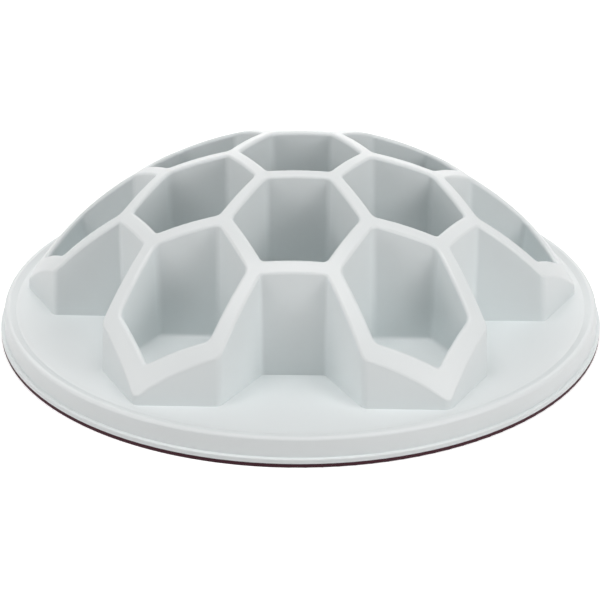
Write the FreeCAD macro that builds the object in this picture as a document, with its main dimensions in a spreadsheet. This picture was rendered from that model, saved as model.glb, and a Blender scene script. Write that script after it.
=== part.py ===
import FreeCAD, Part
import math
import os
import Sketcher

# Cat puzzle feeder: a round plate with a honeycomb dome of wells standing on it, moulded in one
# piece, and a soft ring pressed on under its rim. Millimetres, +Z up, origin on the table under
# the middle of the plate.

# Driving sizes. Radii and widths are seen from above, and levels are heights over the table.
SIZES = {
    "lip_radius": (150.0, "outer edge of the whole feeder"),
    "lip_height": (2.2, "thickness of the small flange round the foot of the skirt"),
    "lip_round": (0.6, "rounding of the flange's upper edge"),
    "skirt_inset": (1.6, "how far the foot of the skirt stands in from the flange"),
    "skirt_lean": (0.8, "how far the skirt leans in on its way up"),
    "skirt_wall": (2.6, "thickness of the skirt at its top"),
    "plate_level": (12.1, "top of the plate, which is the floor of the open alcoves"),
    "bead_height": (1.0, "rise of the plate's turned-up edge"),
    "bead_width": (5.5, "width of the turned-up edge, with its slope"),
    "bead_slope": (3.0, "width of the slope on the turned-up edge's inner side"),
    "bead_round": (1.5, "rounding of the turned-up edge's outer corner"),
    "shell_wall": (2.0, "wall of the moulding, alike in the plate, the wells and the rims"),
    "dome_crown": (89.2, "height of the dome's surface at its middle"),
    "dome_edge": (23.3, "height of the dome's surface over the outermost cells' corners"),
    "cell_pitch": (57.5, "distance between the middles of two neighbouring cells"),
    "rim_width": (6.2, "wall between two cells at the crown's level"),
    "wall_draft": (1.5, "draft of the wells' walls, in degrees"),
    "column_draft": (0.7, "draft of the walls that face the alcoves, in degrees"),
    "outward_draft": (4.0, "draft of the outermost walls, which face the plate's edge, in degrees"),
    "shoulder_level": (27.0, "level where the outermost walls stand as far out as the columns' feet"),
    "well_level": (16.5, "floor of the closed wells"),
    "corner_round": (3.5, "upright corners inside the wells"),
    "back_round": (2.0, "upright corners at the back of the alcoves"),
    "side_round": (4.0, "upright corners where a cell's outer side meets an alcove"),
    "tip_round": (4.5, "upright corners farthest from the middle"),
    "floor_round": (2.0, "rounding between a well's walls and its floor"),
    "rim_round": (1.5, "rounding of the rims"),
    "ring_height": (2.0, "height of the soft ring's outer side, from the table to the flange"),
    "ring_grip": (4.0, "height of the ring's inner leg, which grips the key"),
    "ring_sole": (1.2, "rubber under the key"),
    "ring_leg": (1.6, "rubber inside the key"),
    "ring_round": (0.4, "rounding of the ring's outer lower edge"),
    "key_width": (2.0, "rib under the skirt that the ring is pressed on"),
    "key_gap": (0.1, "play round the key in the ring's groove"),
}

# Levels and radii that follow from the sizes, written for the document's expressions.
LIP_TOP = "(Sizes.ring_height + Sizes.lip_height)"
BEAD_TOP = "(Sizes.plate_level + Sizes.bead_height)"
PLATE_UNDERSIDE = "(Sizes.plate_level - Sizes.shell_wall)"
WELL_UNDERSIDE = "(Sizes.well_level - Sizes.shell_wall)"
SKIRT_FOOT = "(Sizes.lip_radius - Sizes.skirt_inset)"
SKIRT_TOP = f"({SKIRT_FOOT} - Sizes.skirt_lean)"
CAVITY_TOP = f"({SKIRT_TOP} - Sizes.skirt_wall)"
KEY_INNER = f"({CAVITY_TOP} + Sizes.key_gap)"
KEY_OUTER = f"({KEY_INNER} + Sizes.key_width)"
GROOVE_INNER = f"({KEY_INNER} - Sizes.key_gap)"
GROOVE_OUTER = f"({KEY_OUTER} + Sizes.key_gap)"
RING_INNER = f"({GROOVE_INNER} - Sizes.ring_leg)"

NEAR = 1e-4


def half_wall(level, draft="Sizes.wall_draft"):
    """Half the wall between two cells at a level: it grows downwards with the draft."""
    return f"(Sizes.rim_width / 2 + (Sizes.dome_crown - {level}) * tan({draft}))"


def column_inradius(level):
    """Distance from a column's axis to its outer walls at a level."""
    return f"(Sizes.cell_pitch / 2 + {half_wall(level, 'Sizes.column_draft')})"


# The dome is part of a sphere through the crown and through the edge over the outermost cells'
# corners, which stand a third farther from the axis than those cells' middles do.
OUTER_CELLS = "(Sizes.cell_pitch * sqrt(3))"
EDGE_RADIUS = f"({OUTER_CELLS} * 4 / 3)"
DOME_RISE = "(Sizes.dome_crown - Sizes.dome_edge)"
DOME_RADIUS = f"(({EDGE_RADIUS} ^ 2 + {DOME_RISE} ^ 2) / (2 * {DOME_RISE}))"


def make_sheet(doc):
    """The sheet of driving sizes, one named cell each."""
    sheet = doc.addObject("Spreadsheet::Sheet", "Sizes")
    for row, (name, (value, note)) in enumerate(SIZES.items(), start=1):
        sheet.set(f"A{row}", name)
        sheet.set(f"B{row}", str(value))
        sheet.set(f"C{row}", note)
        sheet.setAlias(f"B{row}", name)
    doc.recompute()
    return sheet


def origin_plane(body, role):
    return next(item for item in body.Origin.OriginFeatures if item.Role == role)


def new_sketch(body, name, role):
    """An empty sketch on one of the body's own origin planes."""
    sketch = body.newObject("Sketcher::SketchObject", name)
    sketch.AttachmentSupport = (origin_plane(body, role), [""])
    sketch.MapMode = "FlatFace"
    return sketch


def drive(sketch, kind, places, name, expression):
    """A named dimension in a sketch, bound to an expression."""
    index = sketch.addConstraint(Sketcher.Constraint(kind, *places, 1.0))
    sketch.renameConstraint(index, name)
    sketch.setExpression(f"Constraints.{name}", expression)


def edge_names(shape, wanted):
    """Names of the edges of a shape that a test picks out."""
    return [f"Edge{n}" for n, edge in enumerate(shape.Edges, start=1) if wanted(edge)]


def round_edges(doc, body, name, base, wanted, radius):
    """Rounds the edges of the base feature that a test picks out."""
    doc.recompute()
    fillet = body.newObject("PartDesign::Fillet", name)
    fillet.Base = (base, edge_names(base.Shape, wanted))
    fillet.setExpression("Radius", radius)
    return fillet


def is_upright(edge):
    """True for an edge that climbs more steeply than it runs."""
    start, end = edge.Vertexes[0].Point, edge.Vertexes[-1].Point
    rise = abs(end.z - start.z)
    return rise > NEAR and rise > (end - start).Length / 2


def lies_at(edge, level):
    """True for an edge that lies flat at a level."""
    return all(abs(point.z - level) < NEAR for point in edge.discretize(5))


def upright_between(nearest, farthest):
    """A test for upright edges by their foot's distance from the axis."""
    def wanted(edge):
        foot = min((vertex.Point for vertex in edge.Vertexes), key=lambda point: point.z)
        return is_upright(edge) and nearest < math.hypot(foot.x, foot.y) < farthest
    return wanted


def hexagon_sketch(body, name, inradius):
    """A regular hexagon about the origin, two of its sides parallel to X."""
    sketch = new_sketch(body, name, "XY_Plane")
    corners = [FreeCAD.Vector(1, 0, 0)]
    turn = FreeCAD.Rotation(FreeCAD.Vector(0, 0, 1), 60)
    while len(corners) < 6:
        corners.append(turn.multVec(corners[-1]))
    for n in range(6):
        sketch.addGeometry(Part.LineSegment(corners[n], corners[(n + 1) % 6]), False)
    circle = sketch.addGeometry(Part.Circle(FreeCAD.Vector(), FreeCAD.Vector(0, 0, 1), 1), True)
    for n in range(6):
        sketch.addConstraint(Sketcher.Constraint("Coincident", n, 2, (n + 1) % 6, 1))
        sketch.addConstraint(Sketcher.Constraint("PointOnObject", n, 1, circle))
    for n in range(1, 6):
        sketch.addConstraint(Sketcher.Constraint("Equal", 0, n))
    sketch.addConstraint(Sketcher.Constraint("Coincident", circle, 3, -1, 1))
    sketch.addConstraint(Sketcher.Constraint("Horizontal", 1))
    drive(sketch, "DistanceY", (-1, 1, 1, 1), "inradius", inradius)
    return sketch


def hexagon_pad(doc, name, level, inradius):
    """An upright hexagonal column from a level to above the crown, in a body of its own."""
    body = doc.addObject("PartDesign::Body", name)
    body.setExpression("Placement.Base.z", level)
    pad = body.newObject("PartDesign::Pad", f"{name}_pad")
    pad.Profile = hexagon_sketch(body, f"{name}_section", inradius)
    pad.setExpression("Length", f"Sizes.dome_crown - {level} + Sizes.rim_width")
    doc.recompute()
    return body, pad


def draft_sides(doc, body, name, base, wanted, neutral, angle, widens):
    """Leans the sides whose outward direction a test picks out about a level plane."""
    sides = []
    for n, face in enumerate(base.Shape.Faces, start=1):
        normal = face.normalAt(0, 0)
        if abs(normal.z) < 0.5 and wanted(normal):
            sides.append(f"Face{n}")
    draft = body.newObject("PartDesign::Draft", name)
    draft.Base = (base, sides)
    draft.NeutralPlane = (neutral, [""])
    draft.Reversed = widens
    draft.setExpression("Angle", angle)
    doc.recompute()
    return draft


def well_form(doc, name, level, inradius):
    """A hexagonal column whose sides all lean outwards on their way up."""
    body, pad = hexagon_pad(doc, name, level, inradius)
    foot = origin_plane(body, "XY_Plane")
    draft = draft_sides(doc, body, f"{name}_draft", pad, lambda normal: True, foot,
                        "Sizes.wall_draft", True)
    return body, draft


def column_form(doc, name, inset, outermost):
    """A hexagonal column that narrows upwards; an outermost one leans more on its two outer sides."""
    inradius = f"{column_inradius(PLATE_UNDERSIDE)} - {inset}"
    body, pad = hexagon_pad(doc, name, PLATE_UNDERSIDE, inradius)
    foot = origin_plane(body, "XY_Plane")
    if not outermost:
        draft_sides(doc, body, f"{name}_draft", pad, lambda normal: True, foot,
                    "Sizes.column_draft", False)
        return body
    inner = draft_sides(doc, body, f"{name}_draft", pad, lambda normal: normal.x < 0.5, foot,
                        "Sizes.column_draft", False)
    shoulder = body.newObject("PartDesign::Plane", f"{name}_shoulder")
    shoulder.AttachmentSupport = (foot, [""])
    shoulder.MapMode = "FlatFace"
    shoulder.setExpression("AttachmentOffset.Base.z", f"Sizes.shoulder_level - {PLATE_UNDERSIDE}")
    doc.recompute()
    draft_sides(doc, body, f"{name}_outward_draft", inner, lambda normal: normal.x > 0.5,
                shoulder, "Sizes.outward_draft", False)
    return body


def on_every_cell(doc, name, form, outer_form, level):
    """A form on the middle cell and the six round it, and one on the outer six, all fused."""
    places = [form]
    rings = (("inner", form, "Sizes.cell_pitch", 30), ("outer", outer_form, OUTER_CELLS, 0))
    for ring, linked, distance, first in rings:
        for n in range(6):
            copy = doc.addObject("App::Link", f"{name}_{ring}_{n + 1}")
            copy.LinkedObject = linked
            angle = first + 60 * n
            turn = FreeCAD.Rotation(FreeCAD.Vector(0, 0, 1), angle - first)
            copy.Placement = FreeCAD.Placement(FreeCAD.Vector(), turn)
            copy.setExpression("Placement.Base.x", f"{distance} * cos({angle})")
            copy.setExpression("Placement.Base.y", f"{distance} * sin({angle})")
            copy.setExpression("Placement.Base.z", level)
            places.append(copy)
    cells = doc.addObject("Part::MultiFuse", name)
    cells.Shapes = places
    cells.Refine = True
    return cells


def crown_ball(doc, name, radius):
    """A ball whose surface is the dome's, or one that lies a wall inside it."""
    ball = doc.addObject("Part::Sphere", name)
    ball.setExpression("Radius", radius)
    ball.setExpression("Placement.Base.z", f"Sizes.dome_crown - {DOME_RADIUS}")
    return ball


def boolean(doc, kind, name, base, tool):
    """Part::Cut, Part::Common or Part::Fuse of two objects."""
    result = doc.addObject(kind, name)
    result.Base = base
    result.Tool = tool
    return result


def section_sketch(body, name, corners):
    """A closed section in the XZ plane from corners given as radius and level expressions."""
    sketch = new_sketch(body, name, "XZ_Plane")
    count = len(corners)
    for n in range(count):
        start = FreeCAD.Vector(n, n * n, 0)
        end = FreeCAD.Vector((n + 1) % count, ((n + 1) % count) ** 2, 0)
        sketch.addGeometry(Part.LineSegment(start, end), False)
    for n in range(count):
        sketch.addConstraint(Sketcher.Constraint("Coincident", n, 2, (n + 1) % count, 1))
    for n, (radius, level) in enumerate(corners):
        if radius is None:
            sketch.addConstraint(Sketcher.Constraint("PointOnObject", n, 1, -2))
        else:
            drive(sketch, "DistanceX", (-1, 1, n, 1), f"radius_{n}", radius)
        drive(sketch, "DistanceY", (-1, 1, n, 1), f"level_{n}", level)
    return sketch


def revolve(body, name, sketch):
    """Turns a section once round the body's Z axis."""
    turned = body.newObject("PartDesign::Revolution", name)
    turned.Profile = sketch
    turned.ReferenceAxis = (sketch, ["V_Axis"])
    turned.Angle = 360
    return turned


def circle_at(radius, level):
    """A test for circular edges at a radius and level."""
    def wanted(edge):
        point = edge.Vertexes[0].Point
        on_axis = FreeCAD.Vector(0, 0, point.z)
        return lies_at(edge, level) and abs((point - on_axis).Length - radius) < NEAR
    return wanted


def make_plate(doc, sizes):
    """The plate with its turned-up edge, skirt, flange and the key for the ring."""
    body = doc.addObject("PartDesign::Body", "plate")
    key_foot = "(Sizes.ring_sole + Sizes.key_gap)"
    sketch = section_sketch(body, "plate_section", [
        (None, "Sizes.plate_level"),
        (f"{SKIRT_TOP} - Sizes.bead_width", "Sizes.plate_level"),
        (f"{SKIRT_TOP} - Sizes.bead_width + Sizes.bead_slope", BEAD_TOP),
        (SKIRT_TOP, BEAD_TOP),
        (SKIRT_FOOT, LIP_TOP),
        ("Sizes.lip_radius", LIP_TOP),
        ("Sizes.lip_radius", "Sizes.ring_height"),
        (KEY_OUTER, "Sizes.ring_height"),
        (KEY_OUTER, key_foot),
        (KEY_INNER, key_foot),
        (CAVITY_TOP, PLATE_UNDERSIDE),
        (None, PLATE_UNDERSIDE),
    ])
    turned = revolve(body, "plate_turned", sketch)
    skirt_top = sizes.lip_radius - sizes.skirt_inset - sizes.skirt_lean
    brim = circle_at(skirt_top, sizes.plate_level + sizes.bead_height)
    flange = circle_at(sizes.lip_radius, sizes.ring_height + sizes.lip_height)
    bead = round_edges(doc, body, "bead_rounding", turned, brim, "Sizes.bead_round")
    round_edges(doc, body, "lip_rounding", bead, flange, "Sizes.lip_round")
    doc.recompute()
    return body


def rounded_body(doc, name, base, roundings):
    """A body that starts from another object and rounds its edges, one set after the other."""
    body = doc.addObject("PartDesign::Body", name)
    body.BaseFeature = base
    doc.recompute()
    latest = body.Group[0]
    for suffix, wanted, radius in roundings:
        latest = round_edges(doc, body, f"{name}_{suffix}", latest, wanted, radius)
    doc.recompute()
    return body


def make_honeycomb(doc, sizes):
    """The outside of the honeycomb: thirteen drafted columns under the dome's surface."""
    column = column_form(doc, "column", 0, False)
    outer_column = column_form(doc, "outer_column", 0, True)
    columns = on_every_cell(doc, "columns", column, outer_column, PLATE_UNDERSIDE)
    outer_cells = sizes.cell_pitch * math.sqrt(3)
    tips = outer_cells + sizes.cell_pitch / 2
    rounded = rounded_body(doc, "rounded_columns", columns, (
        ("tips", upright_between(tips, math.inf), "Sizes.tip_round"),
        ("sides", upright_between(outer_cells, tips), "Sizes.side_round"),
        ("backs", upright_between(0, outer_cells), "Sizes.back_round"),
    ))
    return boolean(doc, "Part::Common", "honeycomb", rounded, crown_ball(doc, "crown", DOME_RADIUS))


def make_wells(doc):
    """The air in the thirteen closed wells."""
    well, draft = well_form(doc, "well", "Sizes.well_level",
                            f"Sizes.cell_pitch / 2 - {half_wall('Sizes.well_level')}")
    corners = round_edges(doc, well, "well_corners", draft, is_upright, "Sizes.corner_round")
    round_edges(doc, well, "well_floor", corners, lambda edge: lies_at(edge, 0),
                "Sizes.floor_round")
    doc.recompute()
    return on_every_cell(doc, "wells", well, well, "Sizes.well_level")


def make_hollow(doc):
    """The air under the moulding: inside the columns and under the dome, but not round the wells."""
    inside = column_form(doc, "column_inside", "Sizes.shell_wall", False)
    outer_inside = column_form(doc, "outer_column_inside", "Sizes.shell_wall", True)
    insides = on_every_cell(doc, "column_insides", inside, outer_inside, PLATE_UNDERSIDE)
    ball = crown_ball(doc, "crown_inside", f"{DOME_RADIUS} - Sizes.shell_wall")
    under_dome = boolean(doc, "Part::Common", "under_dome", insides, ball)
    shell, _ = well_form(doc, "well_shell", WELL_UNDERSIDE,
                         f"Sizes.cell_pitch / 2 - {half_wall(WELL_UNDERSIDE)} + Sizes.shell_wall")
    shells = on_every_cell(doc, "well_shells", shell, shell, WELL_UNDERSIDE)
    return boolean(doc, "Part::Cut", "hollow", under_dome, shells)


def make_hive(doc, sizes):
    """The moulded piece: plate and honeycomb in one, with wells, rounded rims and a hollow back."""
    honeycomb = make_honeycomb(doc, sizes)
    standing = boolean(doc, "Part::Fuse", "standing_form", make_plate(doc, sizes), honeycomb)
    welled = boolean(doc, "Part::Cut", "welled_form", standing, make_wells(doc))
    doc.recompute()
    dome = honeycomb.Tool
    centre, radius = dome.Placement.Base, dome.Radius.Value

    def on_dome(edge):
        return all(abs((point - centre).Length - radius) < NEAR for point in edge.discretize(5))

    rounded = rounded_body(doc, "rounded_form", welled, (("rims", on_dome, "Sizes.rim_round"),))
    hive = boolean(doc, "Part::Cut", "hive", rounded, make_hollow(doc))
    hive.Label = "hive_body"
    return hive


def make_ring(doc, sizes):
    """The soft ring: a U section pressed on the key, its outer leg flush with the flange."""
    body = doc.addObject("PartDesign::Body", "ring")
    sketch = section_sketch(body, "ring_section", [
        (RING_INNER, "0"),
        ("Sizes.lip_radius", "0"),
        ("Sizes.lip_radius", "Sizes.ring_height"),
        (GROOVE_OUTER, "Sizes.ring_height"),
        (GROOVE_OUTER, "Sizes.ring_sole"),
        (GROOVE_INNER, "Sizes.ring_sole"),
        (GROOVE_INNER, "Sizes.ring_grip"),
        (RING_INNER, "Sizes.ring_grip"),
    ])
    turned = revolve(body, "ring_turned", sketch)
    round_edges(doc, body, "ring_rounding", turned, circle_at(sizes.lip_radius, 0),
                "Sizes.ring_round")
    body.Label = "non_slip_ring"
    return body


def check(doc, nodes):
    """Stops if any object failed or a node has no sound solid."""
    for item in doc.Objects:
        if "Invalid" in item.State or "Error" in item.State:
            raise RuntimeError(f"{item.Name} did not build: {item.State}")
    for node in nodes:
        if node.Shape.isNull() or not node.Shape.isValid() or len(node.Shape.Solids) != 1:
            raise RuntimeError(f"{node.Label} is not one sound solid")


def main():
    doc = FreeCAD.newDocument("puzzle_feeder")
    sizes = make_sheet(doc)
    nodes = [make_hive(doc, sizes), make_ring(doc, sizes)]
    doc.recompute()
    check(doc, nodes)
    os.makedirs("parts", exist_ok=True)
    for node in nodes:
        node.Shape.exportStep(os.path.join("parts", f"{node.Label}.step"))
        print(node.Label, round(node.Shape.Volume), "cubic millimetres")


main()
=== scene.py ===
"""Cat puzzle feeder: finishes, studio and camera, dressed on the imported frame."""

import logging
import math
from abc import ABC, abstractmethod
from dataclasses import dataclass
from enum import Enum

import bpy
from mathutils import Matrix, Vector

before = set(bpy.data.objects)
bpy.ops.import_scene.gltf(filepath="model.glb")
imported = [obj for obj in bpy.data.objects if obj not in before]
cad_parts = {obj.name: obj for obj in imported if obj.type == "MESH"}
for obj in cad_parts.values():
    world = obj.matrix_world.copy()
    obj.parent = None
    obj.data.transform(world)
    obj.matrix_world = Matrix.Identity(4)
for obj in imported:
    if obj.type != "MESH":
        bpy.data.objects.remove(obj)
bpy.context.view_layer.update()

log = logging.getLogger("feeder")

Colour = tuple[float, float, float]
Place = tuple[float, float, float]
Span = tuple[float, float]

WHITE: Colour = (1.0, 1.0, 1.0)
WHOLE: Span = (0.0, 1.0)
TONE_SPAN: Span = (0.3, 0.7)
MIX_A, MIX_B, MIX_RESULT = 6, 7, 2


class Socket(Enum):
    """Kinds of socket on a shader group."""

    NUMBER = "NodeSocketFloat"
    VECTOR = "NodeSocketVector"


class Sum(Enum):
    """Operations of a Math node."""

    ADD = "ADD"
    SUBTRACT = "SUBTRACT"
    MULTIPLY = "MULTIPLY"
    DIVIDE = "DIVIDE"
    LARGER = "MAXIMUM"


def rgba(colour: Colour) -> tuple[float, float, float, float]:
    """Gives a colour full opacity."""
    return (*colour, 1.0)


def new_group(name: str, inputs: dict[str, Socket],
              outputs: dict[str, Socket]) -> bpy.types.NodeTree:
    """Makes an empty shader group with named sockets.

    Args:
        name: name of the group.
        inputs: input sockets by name.
        outputs: output sockets by name.

    Returns:
        The group, with its input and output nodes in place.
    """
    group = bpy.data.node_groups.new(name, "ShaderNodeTree")
    for label, kind in inputs.items():
        group.interface.new_socket(label, in_out="INPUT", socket_type=kind.value)
    for label, kind in outputs.items():
        group.interface.new_socket(label, in_out="OUTPUT", socket_type=kind.value)
    group.nodes.new("NodeGroupInput").name = "in"
    group.nodes.new("NodeGroupOutput").name = "out"
    return group


def add(tree: bpy.types.NodeTree, kind: str, **settings: object) -> bpy.types.Node:
    """Adds a node and sets its options.

    Args:
        tree: the node tree.
        kind: the node's type, without its ShaderNode prefix.
        settings: options of the node by name.

    Returns:
        The node.
    """
    node = tree.nodes.new(f"ShaderNode{kind}")
    for option, value in settings.items():
        setattr(node, option, value)
    return node


def wire(tree: bpy.types.NodeTree, source: object, target: bpy.types.NodeSocket) -> None:
    """Feeds a socket from another socket, or from a plain value.

    Args:
        tree: the node tree.
        source: a socket of another node, or a number, colour or vector.
        target: the socket to feed.
    """
    if isinstance(source, bpy.types.NodeSocket):
        tree.links.new(source, target)
    else:
        target.default_value = source


def maths(tree: bpy.types.NodeTree, operation: Sum, *values: object) -> bpy.types.NodeSocket:
    """Adds a Math node.

    Args:
        tree: the node tree.
        operation: what the node does.
        values: a socket or a number for each input.

    Returns:
        The result's socket.
    """
    node = add(tree, "Math", operation=operation.value)
    for socket, value in zip(node.inputs, values):
        wire(tree, value, socket)
    return node.outputs[0]


def ramp(tree: bpy.types.NodeTree, value: object, source: Span,
         target: Span) -> bpy.types.NodeSocket:
    """Maps a value smoothly from one range to another, and holds it at the range's ends.

    Args:
        tree: the node tree.
        value: the value, a socket or a number.
        source: the value's range.
        target: the result at each end of that range.

    Returns:
        The result's socket.
    """
    node = add(tree, "MapRange", interpolation_type="SMOOTHSTEP")
    labels = ("Value", "From Min", "From Max", "To Min", "To Max")
    for label, number in zip(labels, (value, *source, *target)):
        wire(tree, number, node.inputs[label])
    return node.outputs["Result"]


def noise(tree: bpy.types.NodeTree, place: bpy.types.NodeSocket, scale: float,
          detail: float) -> bpy.types.NodeSocket:
    """Adds a smooth noise.

    Args:
        tree: the node tree.
        place: coordinates in metres.
        scale: waves per metre.
        detail: octaves of finer waves.

    Returns:
        The noise's socket, from 0 to 1.
    """
    node = add(tree, "TexNoise")
    wire(tree, place, node.inputs["Vector"])
    node.inputs["Scale"].default_value = scale
    node.inputs["Detail"].default_value = detail
    return node.outputs["Fac"]


@dataclass(frozen=True)
class MouldGrain:
    """The fine spark-eroded grain that a mould leaves: scales are in waves per metre."""

    fine_scale: float = 2600.0
    fine_detail: float = 2.0
    fine_share: float = 0.6
    pit_scale: float = 1500.0

    def group(self) -> bpy.types.NodeTree:
        """Builds the shader group.

        Returns:
            A group from Place, and Coarse, the share of the coarse pits, to Height.
        """
        group = new_group("mould_grain", {"Place": Socket.VECTOR, "Coarse": Socket.NUMBER},
                          {"Height": Socket.NUMBER})
        given = group.nodes["in"].outputs
        fine = noise(group, given["Place"], self.fine_scale, self.fine_detail)
        pits = add(group, "TexVoronoi")
        wire(group, given["Place"], pits.inputs["Vector"])
        pits.inputs["Scale"].default_value = self.pit_scale
        pitted = maths(group, Sum.MULTIPLY, pits.outputs["Distance"], given["Coarse"])
        height = maths(group, Sum.ADD, maths(group, Sum.MULTIPLY, fine, self.fine_share), pitted)
        wire(group, height, group.nodes["out"].inputs["Height"])
        return group


@dataclass(frozen=True)
class FlowTone:
    """The slow drift of tone where molten plastic flowed and cooled, and faint rubbed patches."""

    tone_scale: float = 9.0
    tone_detail: float = 2.0
    patch_scale: float = 38.0
    patch_detail: float = 5.0
    patch_span: Span = (0.55, 0.75)
    streak_scale: float = 240.0
    streak_detail: float = 2.0
    streak_squeeze: Place = (1.0, 4.0, 1.0)

    def group(self) -> bpy.types.NodeTree:
        """Builds the shader group.

        Returns:
            A group from Place to Tone, near 0.5, and Scuff, a mask of the rubbed patches.
        """
        group = new_group("flow_tone", {"Place": Socket.VECTOR},
                          {"Tone": Socket.NUMBER, "Scuff": Socket.NUMBER})
        place = group.nodes["in"].outputs["Place"]
        tone = noise(group, place, self.tone_scale, self.tone_detail)
        rough = noise(group, place, self.patch_scale, self.patch_detail)
        patches = ramp(group, rough, self.patch_span, WHOLE)
        squeezed = add(group, "Mapping")
        wire(group, place, squeezed.inputs["Vector"])
        squeezed.inputs["Scale"].default_value = self.streak_squeeze
        streaks = noise(group, squeezed.outputs["Vector"], self.streak_scale, self.streak_detail)
        wire(group, tone, group.nodes["out"].inputs["Tone"])
        scuff = maths(group, Sum.MULTIPLY, patches, streaks)
        wire(group, scuff, group.nodes["out"].inputs["Scuff"])
        return group


class ShellMask:
    """A mask of what lies near the surface of a sphere, such as the rims on a dome."""

    def group(self) -> bpy.types.NodeTree:
        """Builds the shader group.

        Returns:
            A group from Place, Centre, Radius and Depth to Mask, which is 1 at the sphere and
            outside it, and 0 from Depth under it.
        """
        group = new_group("shell_mask",
                          {"Place": Socket.VECTOR, "Centre": Socket.VECTOR,
                           "Radius": Socket.NUMBER, "Depth": Socket.NUMBER},
                          {"Mask": Socket.NUMBER})
        given = group.nodes["in"].outputs
        distance = add(group, "VectorMath", operation="DISTANCE")
        wire(group, given["Place"], distance.inputs[0])
        wire(group, given["Centre"], distance.inputs[1])
        below = maths(group, Sum.SUBTRACT, given["Radius"], distance.outputs["Value"])
        share = maths(group, Sum.DIVIDE, below, given["Depth"])
        wire(group, ramp(group, share, WHOLE, (1.0, 0.0)), group.nodes["out"].inputs["Mask"])
        return group


class Effects:
    """The shader groups that the finishes share, each built once."""

    def __init__(self) -> None:
        """Builds the groups."""
        self.grain = MouldGrain().group()
        self.flow = FlowTone().group()
        self.shell = ShellMask().group()

    @staticmethod
    def place(tree: bpy.types.NodeTree, group: bpy.types.NodeTree,
              **values: object) -> bpy.types.Node:
        """Puts a group into a material.

        Args:
            tree: the material's node tree.
            group: the group.
            values: sockets or plain values for its inputs by name.

        Returns:
            The group's node.
        """
        node = tree.nodes.new("ShaderNodeGroup")
        node.node_tree = group
        for label, value in values.items():
            wire(tree, value, node.inputs[label])
        return node


def new_material(name: str) -> tuple[bpy.types.Material, bpy.types.NodeTree, bpy.types.Node]:
    """Makes a material with a Principled BSDF.

    Args:
        name: name of the material.

    Returns:
        The material, its node tree and its shader.
    """
    material = bpy.data.materials.new(name)
    material.use_nodes = True
    return material, material.node_tree, material.node_tree.nodes["Principled BSDF"]


def own_place(tree: bpy.types.NodeTree) -> bpy.types.NodeSocket:
    """Adds the Object coordinates, in metres."""
    return add(tree, "TexCoord").outputs["Object"]


@dataclass(frozen=True)
class Finish(ABC):
    """What the finishes share: a tone that drifts, rubbed patches and a moulded grain."""

    tone_drift: Span = (0.985, 1.015)
    scuff: float = 0.08
    pits: float = 0.5
    grain_height: float = 0.00001

    @abstractmethod
    def material(self, effects: Effects) -> bpy.types.Material:
        """Builds the material.

        Args:
            effects: the shared shader groups.

        Returns:
            The material.
        """

    def weather(self, shader: bpy.types.Node, effects: Effects, colour: object,
                roughness: object) -> None:
        """Feeds a shader's colour, roughness and normal.

        Args:
            shader: the material's shader.
            effects: the shared shader groups.
            colour: the colour, a socket or a plain colour.
            roughness: the roughness where nothing has rubbed, a socket or a number.
        """
        tree = shader.id_data
        place = own_place(tree)
        flow = effects.place(tree, effects.flow, Place=place).outputs
        drift = add(tree, "HueSaturation")
        wire(tree, colour, drift.inputs["Color"])
        wire(tree, ramp(tree, flow["Tone"], TONE_SPAN, self.tone_drift), drift.inputs["Value"])
        wire(tree, drift.outputs["Color"], shader.inputs["Base Color"])
        rubbed = maths(tree, Sum.MULTIPLY, flow["Scuff"], self.scuff)
        wire(tree, maths(tree, Sum.ADD, rubbed, roughness), shader.inputs["Roughness"])
        grain = effects.place(tree, effects.grain, Place=place, Coarse=self.pits)
        bump = add(tree, "Bump")
        bump.inputs["Distance"].default_value = self.grain_height
        wire(tree, grain.outputs["Height"], bump.inputs["Height"])
        wire(tree, bump.outputs["Normal"], shader.inputs["Normal"])


@dataclass(frozen=True)
class MouldedPlastic(Finish):
    """Satin polypropylene from one mould, with rims that handling has burnished a little
    glossier. The rims' colour is also a touch darker: painted shade that tones down the light
    their tops catch.

    The dome's centre and radius and the depth of the rims under it are in metres.
    """

    colour: Colour = (0.72, 0.774, 0.781)
    # painted shade on the rims: a touch darker than the body, to tone down the light on the
    # dome's top
    rim_painted_shade_colour: Colour = (0.705, 0.757, 0.763)
    roughness: float = 0.5
    rim_roughness: float = 0.42
    ior: float = 1.49
    dome_centre: Place = (0.0, 0.0, -0.0775)
    dome_radius: float = 0.1667
    rim_depth: float = 0.0016

    def material(self, effects: Effects) -> bpy.types.Material:
        """Builds the plastic.

        Args:
            effects: the shared shader groups.

        Returns:
            The material.
        """
        material, tree, shader = new_material("pale_grey_plastic_satin")
        rims = effects.place(tree, effects.shell, Place=own_place(tree), Centre=self.dome_centre,
                             Radius=self.dome_radius, Depth=self.rim_depth).outputs["Mask"]
        # painted shade: the rims, near the dome's surface, get the darker rim colour; their lower
        # roughness is the real burnish
        rim_painted_shade_mix = add(tree, "Mix", data_type="RGBA")
        wire(tree, rims, rim_painted_shade_mix.inputs["Factor"])
        wire(tree, rgba(self.colour), rim_painted_shade_mix.inputs[MIX_A])
        wire(tree, rgba(self.rim_painted_shade_colour), rim_painted_shade_mix.inputs[MIX_B])
        smooth = ramp(tree, rims, WHOLE, (self.roughness, self.rim_roughness))
        self.weather(shader, effects, rim_painted_shade_mix.outputs[MIX_RESULT], smooth)
        shader.inputs["IOR"].default_value = self.ior
        return material


@dataclass(frozen=True)
class SoftRubber(Finish):
    """Thermoplastic rubber: dark plum, dull, with a light bloom."""

    tone_drift: Span = (0.9, 1.12)
    scuff: float = 0.12
    pits: float = 0.8
    grain_height: float = 0.00002
    colour: Colour = (0.058, 0.022, 0.03)
    roughness: float = 0.6
    sheen_level: float = 0.1

    def material(self, effects: Effects) -> bpy.types.Material:
        """Builds the rubber.

        Args:
            effects: the shared shader groups.

        Returns:
            The material.
        """
        material, _, shader = new_material("plum_rubber_dull")
        self.weather(shader, effects, rgba(self.colour), self.roughness)
        shader.inputs["Specular IOR Level"].default_value = self.sheen_level
        return material


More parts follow.
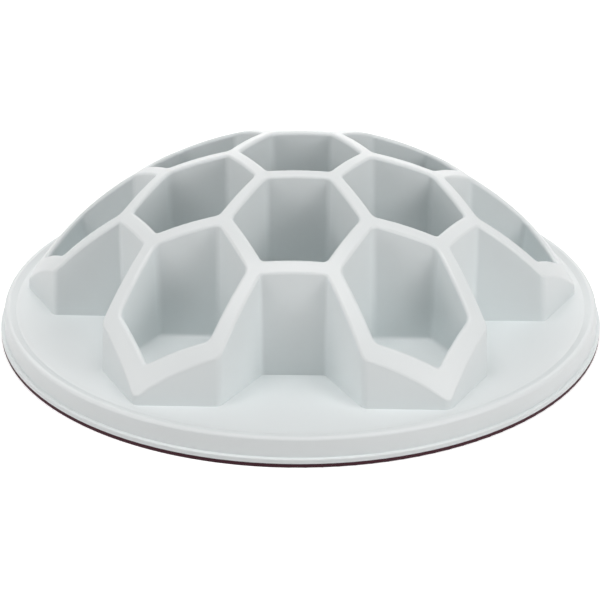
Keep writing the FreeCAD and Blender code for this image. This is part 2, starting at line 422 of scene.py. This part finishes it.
@dataclass
class Moulding:
    """A moulded piece that keeps its CAD shape and gets its own finish."""

    node: str
    finish: Finish

    def dress(self, effects: Effects) -> bpy.types.Object:
        """Gives the CAD node its finish.

        Args:
            effects: the shared shader groups.

        Returns:
            The node's object.
        """
        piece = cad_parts[self.node]
        piece.material_slots[0].material = self.finish.material(effects)
        return piece


@dataclass
class HiveBody(Moulding):
    """The moulded shell: plate, skirt, flange and the honeycomb dome."""

    node: str = "hive_body"
    finish: Finish = MouldedPlastic()


@dataclass
class NonSlipRing(Moulding):
    """The soft ring pressed on under the rim."""

    node: str = "non_slip_ring"
    finish: Finish = SoftRubber()


def seen_directly(tree: bpy.types.NodeTree) -> bpy.types.NodeSocket:
    """Adds a test for rays that show a surface: to the camera, in gloss or through glass.

    Args:
        tree: the node tree.

    Returns:
        A socket that is 1 for such a ray and 0 for any other.
    """
    rays = add(tree, "LightPath").outputs
    mirrored = maths(tree, Sum.LARGER, rays["Is Glossy Ray"], rays["Is Transmission Ray"])
    return maths(tree, Sum.LARGER, rays["Is Camera Ray"], mirrored)


@dataclass
class SoftBox:
    """A soft lamp on a sphere round the object, facing its middle.

    Angles are in degrees, an azimuth of 0 is in front and 90 on the right, lengths are in
    metres and the power in watts.
    """

    name: str
    azimuth: float
    elevation: float
    size: tuple[float, float]
    power: float
    distance: float = 1.6
    aim: Place = (0.0, 0.0, 0.03)
    colour: Colour = (1.0, 0.958, 0.952)

    def build(self) -> bpy.types.Object:
        """Builds the lamp, hidden from the camera.

        Returns:
            The lamp's object.
        """
        data = bpy.data.lights.new(self.name, "AREA")
        data.shape = "RECTANGLE"
        data.size, data.size_y = self.size
        data.energy = self.power
        data.color = self.colour
        lamp = bpy.data.objects.new(self.name, data)
        lamp.visible_camera = False
        bpy.context.scene.collection.objects.link(lamp)
        turn, rise = math.radians(self.azimuth), math.radians(self.elevation)
        away = Vector((math.sin(turn) * math.cos(rise), -math.cos(turn) * math.cos(rise),
                       math.sin(rise)))
        lamp.location = self.distance * away
        look = Vector(self.aim) - lamp.location
        lamp.rotation_euler = look.to_track_quat("-Z", "Y").to_euler()
        return lamp


@dataclass
class Studio:
    """A pale sweep of floor under soft light.

    The floor's glow is what the lamps' light on it lacks to be white. It grows to full white
    between the two distances of floor_fade, in metres, where the lamps no longer reach.
    """

    floor_side: float = 6.0
    floor_colour: Colour = (0.8, 0.8, 0.8)
    floor_roughness: float = 0.9
    floor_glow: float = 0.5
    floor_fade: Span = (0.5, 1.5)
    sky_strength: float = 0.025
    lamps: tuple[SoftBox, ...] = (
        SoftBox("overhead_box", 0.0, 82.0, (0.3, 0.3), 4.3),
        SoftBox("overhead_right_box", 60.0, 72.0, (0.5, 0.5), 4.2),
        SoftBox("overhead_left_box", 300.0, 72.0, (0.5, 0.5), 5.0),
        SoftBox("right_box", 60.0, 27.0, (0.8, 0.6), 8.2),
        SoftBox("left_box", 300.0, 25.0, (0.8, 0.5), 3.6),
        SoftBox("left_low_box", 300.0, 12.0, (1.2, 0.5), 3.2),
        SoftBox("front_low_box", 42.0, 7.0, (1.2, 0.4), 2.8),
        SoftBox("left_side_box", 270.0, 38.0, (0.8, 0.8), 2.3),
        SoftBox("back_right_box", 150.0, 38.0, (0.8, 0.8), 3.0),
        SoftBox("back_left_box", 210.0, 38.0, (0.8, 0.8), 2.9),
        SoftBox("back_low_box", 180.0, 12.0, (1.2, 0.5), 3.9),
    )

    def build(self) -> None:
        """Builds the floor, the sky and the lamps."""
        self.build_floor()
        self.build_sky()
        for lamp in self.lamps:
            lamp.build()

    def build_floor(self) -> bpy.types.Object:
        """Builds the floor, white to the camera but for the object's shadow.

        Returns:
            The floor's object.
        """
        bpy.ops.mesh.primitive_plane_add(size=self.floor_side)
        floor = bpy.context.object
        floor.name = "floor"
        material, tree, shader = new_material("floor_paper")
        shader.inputs["Base Color"].default_value = rgba(self.floor_colour)
        shader.inputs["Roughness"].default_value = self.floor_roughness
        away = add(tree, "VectorMath", operation="LENGTH")
        wire(tree, own_place(tree), away.inputs[0])
        share = ramp(tree, away.outputs["Value"], self.floor_fade, (self.floor_glow, 1.0))
        strength = maths(tree, Sum.MULTIPLY, seen_directly(tree), share)
        glow = add(tree, "Emission")
        glow.inputs["Color"].default_value = rgba(WHITE)
        wire(tree, strength, glow.inputs["Strength"])
        both = add(tree, "AddShader")
        wire(tree, shader.outputs[0], both.inputs[0])
        wire(tree, glow.outputs[0], both.inputs[1])
        wire(tree, both.outputs[0], tree.nodes["Material Output"].inputs["Surface"])
        floor.data.materials.append(material)
        return floor

    def build_sky(self) -> None:
        """Builds the sky: plain white to the camera and in reflections, faint as a light."""
        world = bpy.data.worlds.new("studio")
        world.use_nodes = True
        bpy.context.scene.world = world
        tree = world.node_tree
        sky = tree.nodes["Background"]
        sky.inputs["Color"].default_value = rgba(WHITE)
        strength = ramp(tree, seen_directly(tree), WHOLE, (self.sky_strength, 1.0))
        wire(tree, strength, sky.inputs["Strength"])


@dataclass
class Viewpoint:
    """The camera at the photograph's angle.

    Distance, height and reach are in metres, lens and sensor in millimetres, angles in degrees.
    """

    distance: float = 0.793
    height: float = 0.02915
    elevation: float = 24.5
    turn: float = 1.91
    roll: float = -0.12
    lens: float = 94.8
    sensor: float = 36.0
    shift: tuple[float, float] = (-0.00055, -0.06917)
    reach: float = 50.0

    def build(self) -> bpy.types.Object:
        """Builds the camera and makes it the scene's.

        Returns:
            The camera's object.
        """
        data = bpy.data.cameras.new("camera")
        data.sensor_width = self.sensor
        data.lens = self.lens
        data.shift_x, data.shift_y = self.shift
        data.clip_end = self.reach
        camera = bpy.data.objects.new("camera", data)
        bpy.context.scene.collection.objects.link(camera)
        rise = math.radians(self.elevation)
        place = Vector((0.0, -self.distance * math.cos(rise),
                        self.height + self.distance * math.sin(rise)))
        camera.matrix_world = (Matrix.Rotation(math.radians(self.turn), 4, "Z")
                               @ Matrix.Translation(place)
                               @ Matrix.Rotation(math.radians(90.0) - rise, 4, "X")
                               @ Matrix.Rotation(math.radians(self.roll), 4, "Z"))
        bpy.context.scene.camera = camera
        return camera


def main() -> None:
    """Dresses the object and builds the studio and the camera, in order."""
    logging.basicConfig(level=logging.INFO, format="%(message)s")
    effects = Effects()
    for part in (HiveBody(), NonSlipRing()):
        piece = part.dress(effects)
        log.info("dressed %s", piece.name)
    Studio().build()
    Viewpoint().build()
    bpy.context.scene.view_settings.view_transform = "Standard"


if __name__ == "__main__":
    main()
